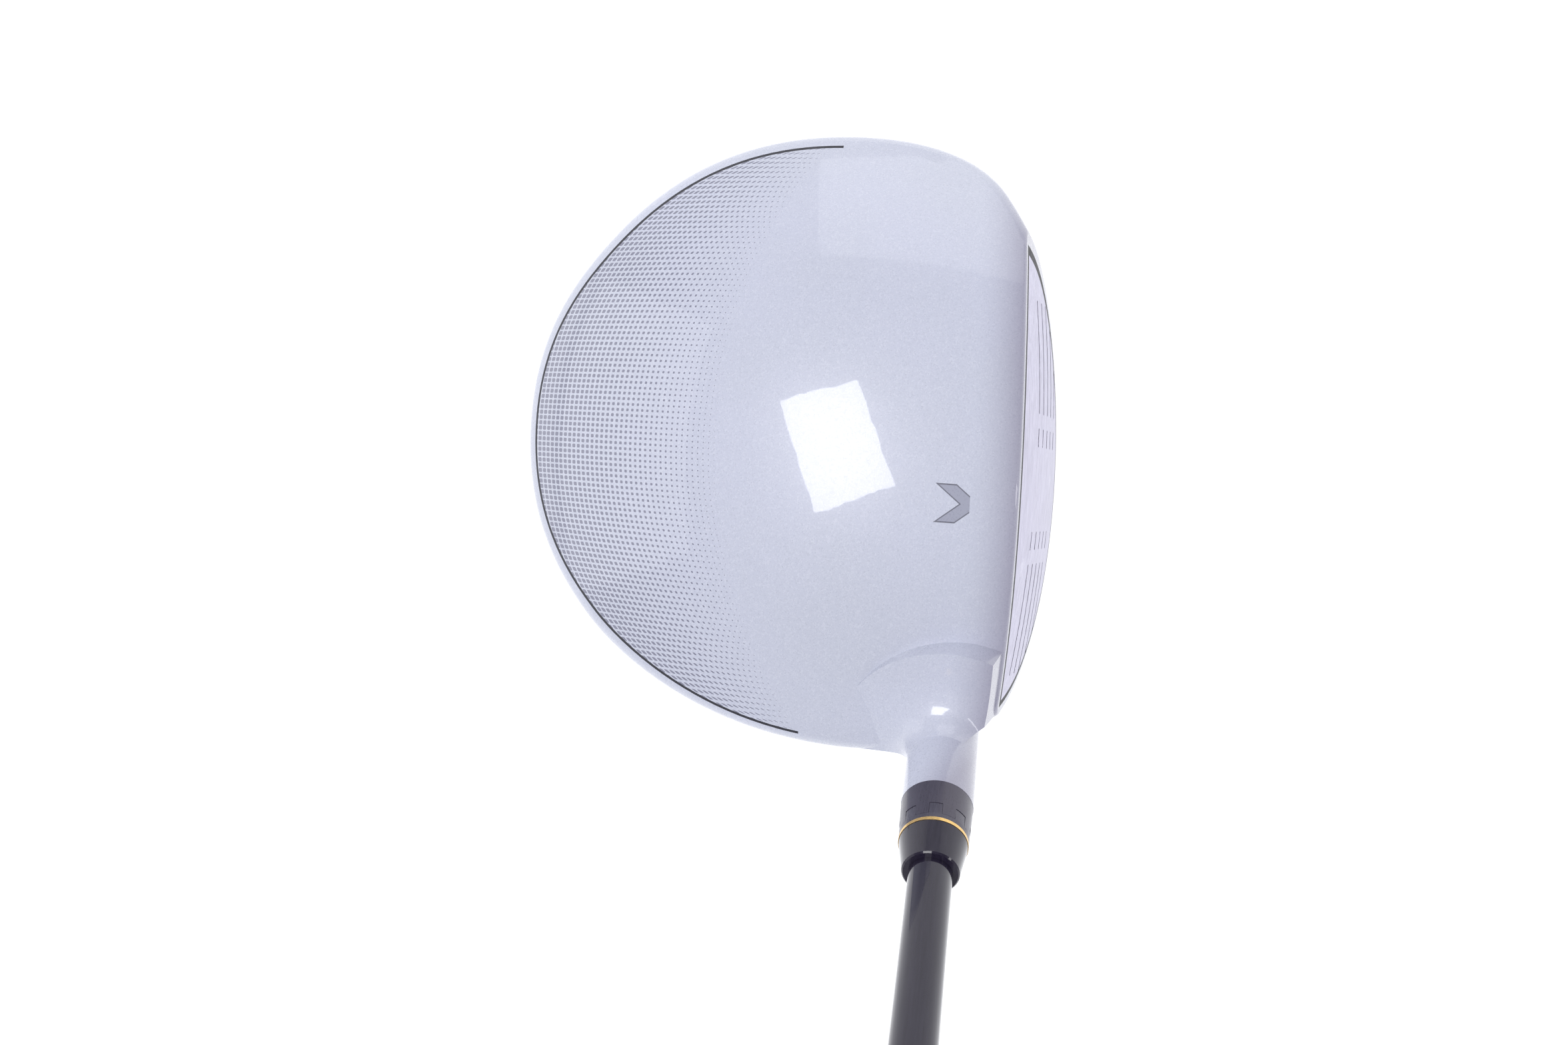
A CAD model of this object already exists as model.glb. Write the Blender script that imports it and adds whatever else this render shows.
import math

import bmesh
import bpy
from mathutils import Matrix, Vector


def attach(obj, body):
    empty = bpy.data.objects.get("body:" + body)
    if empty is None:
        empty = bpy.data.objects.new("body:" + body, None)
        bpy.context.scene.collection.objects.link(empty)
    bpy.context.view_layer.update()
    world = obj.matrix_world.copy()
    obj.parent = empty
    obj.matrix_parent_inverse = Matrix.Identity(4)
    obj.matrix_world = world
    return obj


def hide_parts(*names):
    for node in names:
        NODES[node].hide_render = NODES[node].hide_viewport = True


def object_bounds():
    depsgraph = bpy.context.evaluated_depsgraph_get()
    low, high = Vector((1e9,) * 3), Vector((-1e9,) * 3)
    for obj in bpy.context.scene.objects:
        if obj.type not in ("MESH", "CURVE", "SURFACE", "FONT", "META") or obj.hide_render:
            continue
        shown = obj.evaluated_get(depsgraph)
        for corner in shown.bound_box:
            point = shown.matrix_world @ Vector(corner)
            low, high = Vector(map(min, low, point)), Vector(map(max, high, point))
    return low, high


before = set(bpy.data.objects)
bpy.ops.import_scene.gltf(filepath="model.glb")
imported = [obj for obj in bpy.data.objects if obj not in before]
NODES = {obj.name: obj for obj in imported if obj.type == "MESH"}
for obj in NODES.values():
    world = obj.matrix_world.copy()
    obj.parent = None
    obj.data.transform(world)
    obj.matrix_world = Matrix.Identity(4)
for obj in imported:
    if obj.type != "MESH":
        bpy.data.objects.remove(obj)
low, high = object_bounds()

D = bpy.data
MM = 1000.0                   # millimetres in a metre

# The hosel axis in the CAD frame: its lie, its two directions and its foot, in metres.
LIE = math.radians(59.0)
UP = Vector((-math.cos(LIE), 0.0, math.sin(LIE)))
OFF = Vector((math.sin(LIE), 0.0, math.cos(LIE)))
HOSEL_FOOT = (-0.030, -0.032, 0.0)


def on_axis(station):
    """The point on the hosel axis that is so many millimetres up from its foot."""
    return Vector(HOSEL_FOOT) + UP * (station / MM)


# ------------------------------------------------------------------ shader help
class Mat:
    """One node material on the Principled shader, with short helpers."""

    def __init__(self, name, colour, rough, metal=0.0, **sockets):
        self.material = D.materials.new(name)
        self.material.use_nodes = True
        self.tree = self.material.node_tree
        self.shader = self.tree.nodes["Principled BSDF"]
        self.shader.inputs["Base Color"].default_value = (*colour, 1)
        self.shader.inputs["Roughness"].default_value = rough
        self.shader.inputs["Metallic"].default_value = metal
        for key, value in sockets.items():
            self.shader.inputs[key.replace("_", " ")].default_value = value

    def new(self, kind, **fields):
        """Adds a node and sets its fields."""
        n = self.tree.nodes.new(kind)
        for key, value in fields.items():
            setattr(n, key, value)
        return n

    def link(self, a, b):
        """Joins an output to an input."""
        self.tree.links.new(a, b)

    def put(self, socket, value):
        """Sets or links an input."""
        if hasattr(value, "is_output"):
            self.link(value, socket)
        else:
            socket.default_value = value

    def math(self, op, a, b=0.0, clamp=False):
        """One sum of two values or sockets."""
        n = self.new("ShaderNodeMath", operation=op, use_clamp=clamp)
        self.put(n.inputs[0], a)
        self.put(n.inputs[1], b)
        return n.outputs[0]

    def times(self, a, b):
        """a * b"""
        return self.math("MULTIPLY", a, b)

    def minus(self, a, b):
        """a - b"""
        return self.math("SUBTRACT", a, b)

    def where(self):
        """Object coordinates split into X, Y and Z: the CAD frame at rest, in metres."""
        c = self.new("ShaderNodeTexCoord")
        s = self.new("ShaderNodeSeparateXYZ")
        self.link(c.outputs["Object"], s.inputs[0])
        self.coord = c.outputs["Object"]
        return s.outputs[0], s.outputs[1], s.outputs[2]

    def noise(self, scale, vector=None, detail=2.0, rough=0.5):
        """Soft noise over the object, or over the vector given."""
        n = self.new("ShaderNodeTexNoise")
        n.inputs["Scale"].default_value = scale
        n.inputs["Detail"].default_value = detail
        n.inputs["Roughness"].default_value = rough
        self.link(vector or self.coord, n.inputs["Vector"])
        return n.outputs["Fac"]

    def cells(self, scale):
        """Small cells, each with three values of its own: red, green and blue."""
        n = self.new("ShaderNodeTexVoronoi")
        n.inputs["Scale"].default_value = scale
        self.link(self.coord, n.inputs["Vector"])
        s = self.new("ShaderNodeSeparateColor")
        self.link(n.outputs["Color"], s.inputs[0])
        return s.outputs[0], s.outputs[1], s.outputs[2]

    def mix(self, fac, a, b):
        """Colour a where fac is 0 and colour b where it is 1."""
        n = self.new("ShaderNodeMix", data_type="RGBA")
        self.put(n.inputs[0], fac)
        for i, v in ((6, a), (7, b)):
            self.put(n.inputs[i], v if hasattr(v, "is_output") else (*v, 1))
        return n.outputs[2]

    def fit(self, value, a, b, c, d):
        """Carries the range a to b over to c to d, clamped."""
        n = self.new("ShaderNodeMapRange")
        self.put(n.inputs[0], value)
        for i, v in enumerate((a, b, c, d)):
            n.inputs[i + 1].default_value = v
        return n.outputs[0]

    def bump(self, height, strength, distance):
        """Small relief from a height, with its depth in metres."""
        n = self.new("ShaderNodeBump")
        n.inputs["Strength"].default_value = strength
        n.inputs["Distance"].default_value = distance
        self.link(height, n.inputs["Height"])
        self.link(n.outputs[0], self.shader.inputs["Normal"])

    def colour(self, value):
        """Links the base colour."""
        self.link(value, self.shader.inputs["Base Color"])

    def rough(self, value):
        """Links the roughness."""
        self.link(value, self.shader.inputs["Roughness"])

    def stretch(self, scale):
        """Object coordinates scaled on each axis."""
        n = self.new("ShaderNodeMapping")
        n.inputs["Scale"].default_value = scale
        self.link(self.coord, n.inputs["Vector"])
        return n.outputs[0]

    def along_shaft(self, scale):
        """Object coordinates turned so that Z runs along the hosel axis, then scaled."""
        n = self.new("ShaderNodeMapping", vector_type="POINT")
        n.inputs["Rotation"].default_value = (0.0, math.radians(90) - LIE, 0.0)
        self.link(self.coord, n.inputs["Vector"])
        m = self.new("ShaderNodeMapping", vector_type="POINT")
        m.inputs["Scale"].default_value = scale
        self.link(n.outputs[0], m.inputs["Vector"])
        return m.outputs[0]


def lighter(colour, by):
    """A colour times a number, no value above 1."""
    return tuple(min(1, by * c) for c in colour)


# The face is a piece of this sphere. Millimetres.
LOFT = math.radians(10.5)
FACE_RADIUS = 305.0
FACE_MIDDLE = (-2.0, -49.2, 30.0)
FACE_CENTRE = (
    FACE_MIDDLE[0],
    FACE_MIDDLE[1] + FACE_RADIUS * math.cos(LOFT),
    FACE_MIDDLE[2] - FACE_RADIUS * math.sin(LOFT),
)


def behind_face(m):
    """Millimetres behind the face surface at the shaded point."""
    n = m.new("ShaderNodeVectorMath", operation="DISTANCE")
    m.link(m.coord, n.inputs[0])
    n.inputs[1].default_value = [c / MM for c in FACE_CENTRE]
    return m.minus(FACE_RADIUS, m.times(n.outputs["Value"], MM))


# ------------------------------------------------------------------ white paint
PAINT = (0.535, 0.555, 0.675)
PAINT_HAZE = (0.49, 0.515, 0.59)
FLAKE_LIGHT = (0.92, 0.93, 1.0)
FLAKE_DARK = (0.34, 0.35, 0.42)
FLAKE_SCALE = 3800.0          # about four cells to a millimetre
NOSE_TONE = (0.235, 0.215, 0.30)
NOSE_DEPTH = 9.0              # millimetres behind the face over which the pearl darkens
NOSE_FALL = 1.6

# The dot print on the crown. Millimetres, in the plan of the head.
PRINT_MIDDLE = 6.0            # X of the middle of its rear edge
PRINT_HALF_WIDTH = 66.0
PRINT_REAR = 64.0             # Y of the rear edge there
PRINT_BEND = 2.25             # the two powers that shape the rear edge
PRINT_FLAT = 0.52
FRONT_MIDDLE = 8.0            # the front line is a shallow parabola
FRONT_LINE = 17.5
FRONT_SAG = 0.0045
PITCH_X = 1.19
PITCH_Y = 1.22
DOT_HALF = 0.39               # half the largest dot's width, as a part of the pitch
DOT_GROWTH = 0.60             # power by which the dots grow from front to rear
DOT_EDGE = 0.02
DOT_INK = (0.205, 0.208, 0.285)

# The alignment mark, an arrowhead that points to the face. Millimetres.
MARK_MIDDLE = -6.0            # X
MARK_FRONT = -37.0            # Y of the line that the mark's middle is set back from
MARK_SETBACK = 3.0
MARK_SLOPE = 1.25
MARK_OUTLINE = (2.1, 4.0)     # half its depth front to back, half its width
MARK_CORE = (1.7, 3.7)
MARK_EDGE = 0.1
MARK_DARK = (0.12, 0.12, 0.16)
MARK_GREY = (0.36, 0.37, 0.47)


def dot_print(m, x, y):
    """How much the dots cover: square with round corners, smaller towards the front."""
    # The rear edge is a rounded arch of its own, close to the crown's outline.
    side = m.math("DIVIDE", m.minus(x, PRINT_MIDDLE), PRINT_HALF_WIDTH)
    fall = m.math("POWER", m.math("ABSOLUTE", side), PRINT_BEND)
    left = m.math("MAXIMUM", m.minus(1.0, fall), 0.0)
    rear = m.times(m.math("POWER", left, PRINT_FLAT), PRINT_REAR)
    off_middle = m.minus(x, FRONT_MIDDLE)
    front = m.minus(FRONT_LINE, m.times(m.times(off_middle, off_middle), FRONT_SAG))
    span = m.math("MAXIMUM", m.minus(rear, front), 1.0)
    part = m.math("DIVIDE", m.minus(y, front), span, clamp=True)
    half = m.times(m.math("POWER", part, DOT_GROWTH), DOT_HALF)
    u = m.minus(m.math("FRACT", m.math("DIVIDE", x, PITCH_X)), 0.5)
    v = m.minus(m.math("FRACT", m.math("DIVIDE", m.minus(rear, y), PITCH_Y)), 0.5)
    u4 = m.math("POWER", m.math("ABSOLUTE", u), 4.0)
    v4 = m.math("POWER", m.math("ABSOLUTE", v), 4.0)
    reach = m.math("POWER", m.math("ADD", u4, v4), 0.25)
    dot = m.fit(m.minus(half, reach), -DOT_EDGE, DOT_EDGE, 0.0, 1.0)
    return m.times(dot, m.fit(part, 0.02, 0.06, 0.0, 1.0))


def arrowhead(m, x, y, size):
    """Where the arrowhead of this half depth and half width covers the crown."""
    half_depth, half_width = size
    across = m.math("ABSOLUTE", m.minus(x, MARK_MIDDLE))
    behind = m.minus(m.times(across, MARK_SLOPE), m.minus(y, MARK_FRONT))
    band = m.math("ABSOLUTE", m.math("ADD", behind, MARK_SETBACK))
    inside = m.math("LESS_THAN", across, half_width)
    return m.times(m.fit(band, half_depth, half_depth + MARK_EDGE, 1.0, 0.0), inside)


def pearl(name, printed):
    """Pearl white with fine flake under clear gloss; the crown adds the print."""
    m = Mat(name, PAINT, 0.34, 0.0, Coat_Weight=1.0, Coat_Roughness=0.035, Coat_IOR=1.5)
    x, y, _ = m.where()
    red, green, blue = m.cells(FLAKE_SCALE)
    glint = m.fit(red, 0.55, 1.0, 0.0, 1.0)
    dark = m.fit(green, 0.7, 1.0, 0.0, 1.0)
    haze = m.noise(26.0, detail=3.0)
    tone = m.mix(m.fit(haze, 0.35, 0.65, 0.0, 0.35), PAINT, PAINT_HAZE)
    tone = m.mix(m.times(glint, 0.16), tone, FLAKE_LIGHT)
    tone = m.mix(m.times(dark, 0.12), tone, FLAKE_DARK)
    if printed:
        x, y = m.times(x, MM), m.times(y, MM)
        tone = m.mix(m.times(dot_print(m, x, y), 0.95), tone, DOT_INK)
        tone = m.mix(m.times(arrowhead(m, x, y, MARK_OUTLINE), 0.9), tone, MARK_DARK)
        tone = m.mix(m.times(arrowhead(m, x, y, MARK_CORE), 0.9), tone, MARK_GREY)
    nose = m.math("POWER", m.fit(behind_face(m), 0.0, NOSE_DEPTH, 1.0, 0.0), NOSE_FALL)
    m.colour(m.mix(m.times(nose, 0.72), tone, NOSE_TONE))
    m.rough(m.fit(blue, 0.0, 1.0, 0.24, 0.46))
    peel = m.noise(900.0, detail=1.0)
    m.bump(m.math("ADD", m.times(glint, 0.35), peel), 0.035, 0.00006)
    return m.material


# ------------------------------------------------------------------ other looks
def dark_metal(name, colour=(0.052, 0.046, 0.068), rough=0.3, metal=0.4, coat=0.35):
    """Dark satin finish with its grain along the shaft."""
    m = Mat(name, colour, rough, metal, Coat_Weight=coat, Coat_Roughness=0.12)
    m.where()
    grain = m.noise(2600.0, m.along_shaft((1.0, 1.0, 0.12)), 4.0, 0.7)
    m.rough(m.fit(grain, 0.3, 0.7, rough - 0.07, rough + 0.09))
    m.colour(m.mix(m.fit(grain, 0.35, 0.65, 0.0, 0.5), colour, lighter(colour, 1.5)))
    m.bump(grain, 0.12, 0.00003)
    return m.material


def gloss_black(name):
    """Black gloss over a faint weave along the shaft."""
    m = Mat(name, (0.02, 0.018, 0.028), 0.16, 0.0, Coat_Weight=1.0, Coat_Roughness=0.03,
            Coat_IOR=1.42, Specular_IOR_Level=0.12)
    m.where()
    weave = m.noise(1500.0, m.along_shaft((1.0, 1.0, 0.08)), 3.0, 0.6)
    tone = m.mix(m.fit(weave, 0.35, 0.7, 0.0, 0.6), (0.014, 0.011, 0.024), (0.026, 0.022, 0.040))
    m.colour(tone)
    m.rough(m.fit(m.noise(300.0), 0.3, 0.7, 0.16, 0.26))
    m.bump(weave, 0.03, 0.00002)
    return m.material


def brushed_face():
    """Metal brushed from heel to toe, scuffed, with dark paint in the score lines."""
    m = Mat("face_brushed", (0.55, 0.53, 0.63), 0.34, 1.0)
    m.where()
    lines = m.noise(220.0, m.stretch((0.5, 14.0, 14.0)), 6.0, 0.75)
    fine = m.noise(900.0, m.stretch((0.35, 8.0, 8.0)), 3.0, 0.7)
    scuff = m.noise(150.0, None, 5.0, 0.7)
    tone = m.mix(m.fit(lines, 0.3, 0.7, 0.0, 1.0), (0.33, 0.315, 0.41), (0.66, 0.64, 0.78))
    tone = m.mix(m.fit(scuff, 0.60, 0.72, 0.0, 0.5), tone, (0.74, 0.72, 0.82))
    in_groove = m.fit(behind_face(m), 0.10, 0.20, 0.0, 1.0)
    m.colour(m.mix(m.times(in_groove, 0.9), tone, (0.05, 0.045, 0.06)))
    m.rough(m.fit(fine, 0.3, 0.7, 0.24, 0.42))
    m.bump(m.math("ADD", lines, fine), 0.18, 0.00004)
    return m.material


def plain_metal(name, colour, rough, scale=1400.0, metal=1.0):
    """Even fine grain; with no metal it is the clip's nylon."""
    m = Mat(name, colour, rough, metal)
    m.where()
    grain = m.noise(scale, None, 4.0, 0.7)
    m.rough(m.fit(grain, 0.3, 0.7, max(0.03, rough - 0.08), rough + 0.1))
    shade = m.fit(grain, 0.3, 0.7, 0.0, 1.0)
    m.colour(m.mix(shade, lighter(colour, 0.88), lighter(colour, 1.1)))
    m.bump(grain, 0.08, 0.00003)
    return m.material


def rubber(name, colour):
    """Dull black with a fine tooth."""
    m = Mat(name, colour, 0.72)
    m.where()
    grain = m.noise(2200.0, m.along_shaft((1.0, 1.0, 1.0)), 3.0, 0.6)
    m.rough(m.fit(grain, 0.3, 0.7, 0.62, 0.82))
    m.colour(m.mix(m.fit(grain, 0.3, 0.7, 0.0, 1.0), colour, lighter(colour, 1.6)))
    m.bump(grain, 0.35, 0.00012)
    return m.material


def tape_paper():
    """Cream paper with fibres along the shaft."""
    m = Mat("tape_paper", (0.70, 0.66, 0.56), 0.85)
    m.where()
    fibre = m.noise(500.0, m.along_shaft((1.0, 1.0, 0.3)), 5.0, 0.7)
    m.colour(m.mix(m.fit(fibre, 0.3, 0.7, 0.0, 1.0), (0.62, 0.58, 0.48), (0.76, 0.73, 0.64)))
    m.bump(fibre, 0.3, 0.0001)
    return m.material


crown_paint = pearl("crown_pearl", True)
body_paint = pearl("body_pearl", False)

LOOKS = {
    "head_body": body_paint,
    "crown_panel": crown_paint,
    "crown_seam": dark_metal("seam_dark", (0.030, 0.030, 0.040), 0.45, 0.0, 0.0),
    "face_insert": brushed_face(),
    "face_border": dark_metal("border_black", (0.006, 0.006, 0.008), 0.5, 0.0, 0.0),
    "sole_badge": dark_metal("badge_black", (0.03, 0.03, 0.036), 0.34, 0.6, 0.2),
    "hosel_collar": dark_metal("collar_satin"),
    "shaft_adapter": dark_metal("adapter_satin", (0.058, 0.053, 0.075), 0.27),
    "trim_ring": plain_metal("ring_gold", (0.78, 0.52, 0.20), 0.22),
    "ferrule": gloss_black("ferrule_gloss"),
    "shaft": gloss_black("shaft_gloss"),
    "tip_weight": plain_metal("tip_brass", (0.80, 0.62, 0.30), 0.3),
    "grip_tape": tape_paper(),
    "grip": rubber("grip_rubber", (0.016, 0.016, 0.018)),
    "grip_cap": rubber("cap_rubber", (0.020, 0.020, 0.023)),
    "hosel_screw": plain_metal("screw_dark", (0.16, 0.16, 0.18), 0.3),
    "screw_clip": plain_metal("clip_nylon", (0.10, 0.10, 0.11), 0.5, 600.0, 0.0),
    "screw_washer": plain_metal("washer_steel", (0.55, 0.55, 0.57), 0.3),
    "sole_weight": plain_metal("weight_steel", (0.50, 0.50, 0.53), 0.28),
    "weight_screw": plain_metal("weight_screw_dark", (0.12, 0.12, 0.14), 0.3),
}
for name, look in LOOKS.items():
    node = NODES[name]
    node.data.materials.clear()
    node.data.materials.append(look)
    for p in node.data.polygons:
        p.use_smooth = True

# ------------------------------------------------------------------ grip relief
# Stations and radii in millimetres, along the hosel axis.
GRIP_FOOT = 894.0
GRIP_TOP = 1159.0
MOUTH_RADIUS = 8.9
BUTT_RADIUS = 13.0
SWELL = 60.0                  # the last length, which no longer widens
BANDS = ((902.0, 948.0), (954.0, 1046.0), (1052.0, 1120.0))
BAND_EDGE = 1.5               # the grooves run out over this length
STARTS = 9                    # helical grooves each way round
LEAD = 34.0                   # rise in which |sin| comes round once
GROOVE = 0.45
SHARPNESS = 9
RING_PITCH = 3.0
RING_DEPTH = 0.25
PLAIN_END = 4.0
MOUTH_EDGE = 0.25             # small chamfer at the mouth
MOUTH_INSET = 0.9             # how far the end faces stand inside the outside radius
BUTT_INSET = 0.8
AROUND = 168                  # points round and steps along of the mesh
ALONG = 330


def grip_radius(station, turn):
    """Outside radius with crossed grooves in three bands and plain rings between."""
    along = min(1.0, (station - GRIP_FOOT) / (GRIP_TOP - SWELL - GRIP_FOOT))
    base = MOUTH_RADIUS + along * (BUTT_RADIUS - MOUTH_RADIUS)
    for start, end in BANDS:
        if start < station < end:
            edge = min(1.0, (station - start) / BAND_EDGE, (end - station) / BAND_EDGE)
            one = abs(math.sin(STARTS * turn + station * math.pi / LEAD)) ** SHARPNESS
            two = abs(math.sin(STARTS * turn - station * math.pi / LEAD)) ** SHARPNESS
            return base - GROOVE * edge * max(one, two)
    ring = math.sin(station * math.pi / RING_PITCH) ** 2
    return base - RING_DEPTH * ring * (GRIP_FOOT + PLAIN_END < station < GRIP_TOP - PLAIN_END)


def make_grip():
    """The grip with real grooves and rings, in place of the CAD grip."""
    bm = bmesh.new()
    side = OFF.normalized()
    front = UP.cross(side)
    step = GRIP_TOP - GRIP_FOOT - MOUTH_EDGE
    profile = [(GRIP_FOOT, -MOUTH_INSET), (GRIP_FOOT, -MOUTH_EDGE)]
    profile += [(GRIP_FOOT + MOUTH_EDGE + step * i / ALONG, 0.0) for i in range(ALONG + 1)]
    profile += [(GRIP_TOP, -BUTT_INSET)]
    rows = []
    for station, inset in profile:
        row = []
        for k in range(AROUND):
            turn = 2 * math.pi * k / AROUND
            radius = (grip_radius(station, turn) + inset) / MM
            out = side * math.cos(turn) + front * math.sin(turn)
            row.append(bm.verts.new(on_axis(station) + radius * out))
        rows.append(row)
    for low_row, high_row in zip(rows, rows[1:]):
        for k in range(AROUND):
            j = (k + 1) % AROUND
            bm.faces.new((low_row[k], low_row[j], high_row[j], high_row[k]))
    bm.faces.new(list(reversed(rows[0])))
    bm.faces.new(rows[-1])
    bmesh.ops.recalc_face_normals(bm, faces=bm.faces)
    mesh = D.meshes.new("grip_relief")
    bm.to_mesh(mesh)
    bm.free()
    piece = D.objects.new("grip_relief", mesh)
    bpy.context.scene.collection.objects.link(piece)
    mesh.materials.append(LOOKS["grip"])
    for p in mesh.polygons:
        p.use_smooth = len(p.vertices) == 4
    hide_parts("grip")
    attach(piece, "shaft_unit")


make_grip()

# ------------------------------------------------------------------ studio
FLOOR_SIZE = 40.0
FLOOR_GAP = 0.0005            # metres between the floor and the sole
FLOOR_GLOW = 0.95
SKY_COLOUR = (0.93, 0.95, 1.0, 1)
SKY_FIT = (0.05, 0.65, 0.80, 0.16)    # from these two heights to these two strengths

mesh = D.meshes.new("floor")
bm = bmesh.new()
bmesh.ops.create_grid(bm, x_segments=1, y_segments=1, size=FLOOR_SIZE)
bm.to_mesh(mesh)
bm.free()
floor = D.objects.new("floor", mesh)
floor.location = (0.0, 0.0, low.z - FLOOR_GAP)
bpy.context.scene.collection.objects.link(floor)
white = Mat("floor_white", (0.30, 0.30, 0.31), 0.9)
white.shader.inputs["Emission Color"].default_value = (0.97, 0.98, 1.0, 1)
white.shader.inputs["Emission Strength"].default_value = FLOOR_GLOW
floor.data.materials.append(white.material)


def softbox(name, at, towards, size, power, turn=0.0):
    """A white rectangular light: metres and watts, turned about its own direction."""
    light = D.lights.new(name, "AREA")
    light.shape = "RECTANGLE"
    light.size, light.size_y = size
    light.energy = power
    o = D.objects.new(name, light)
    aim = (Vector(towards) - Vector(at)).to_track_quat("-Z", "Y").to_matrix().to_4x4()
    o.matrix_world = Matrix.Translation(at) @ aim @ Matrix.Rotation(turn, 4, "Z")
    bpy.context.scene.collection.objects.link(o)
    return o


boxes = [
    softbox("key_box", (0.02, 0.20, 1.25), (0.0, 0.0, 0.05), (0.66, 0.46), 6.4, math.radians(28)),
    softbox("rear_box", (0.1, 2.2, 0.9), (0.0, 0.0, 0.05), (2.4, 1.6), 7.0),
    softbox("toe_box", (2.0, -0.2, 0.75), (0.0, 0.0, 0.03), (1.6, 1.2), 5.0),
    softbox("strip_box", (-0.15, -1.3, 0.9), (-0.05, 0.0, 0.1), (0.12, 1.2), 2.2),
    softbox("top_fill", (0.0, 0.1, 2.4), (0.0, 0.0, 0.0), (2.6, 2.6), 31.0),
]
boxes[-1].visible_glossy = False    # it fills, and the coat doesn't mirror it

world = D.worlds.new("studio")
bpy.context.scene.world = world
world.use_nodes = True
tree = world.node_tree
sky = tree.nodes["Background"]
where = tree.nodes.new("ShaderNodeTexCoord")
split = tree.nodes.new("ShaderNodeSeparateXYZ")
ramp = tree.nodes.new("ShaderNodeMapRange")
tree.links.new(where.outputs["Generated"], split.inputs[0])
tree.links.new(split.outputs[2], ramp.inputs[0])
for i, value in enumerate(SKY_FIT, 1):
    ramp.inputs[i].default_value = value
tree.links.new(ramp.outputs[0], sky.inputs[1])
sky.inputs[0].default_value = SKY_COLOUR

# ------------------------------------------------------------------ camera
SENSOR_MM = 36.0
FOCAL_PX = 2450.0
WIDTH_PX = 2353.0
FROM_HOSEL_FOOT = (0.0281, -0.0067, 0.3895)   # metres
RIGHT = Vector((0.0698, -0.9893, -0.1278))    # the picture's right and down
DOWN = Vector((-0.9971, -0.0732, 0.0220))

cam_data = D.cameras.new("camera")
cam_data.sensor_width = SENSOR_MM
cam_data.lens = SENSOR_MM * FOCAL_PX / WIDTH_PX
cam_data.clip_start = 0.01
cam = D.objects.new("camera", cam_data)
turned = Matrix((RIGHT, -DOWN, -RIGHT.cross(DOWN))).transposed().to_4x4()
at = [a + b for a, b in zip(FROM_HOSEL_FOOT, HOSEL_FOOT)]
cam.matrix_world = Matrix.Translation(at) @ turned
bpy.context.scene.collection.objects.link(cam)
bpy.context.scene.camera = cam
bpy.context.scene.view_settings.view_transform = "Standard"
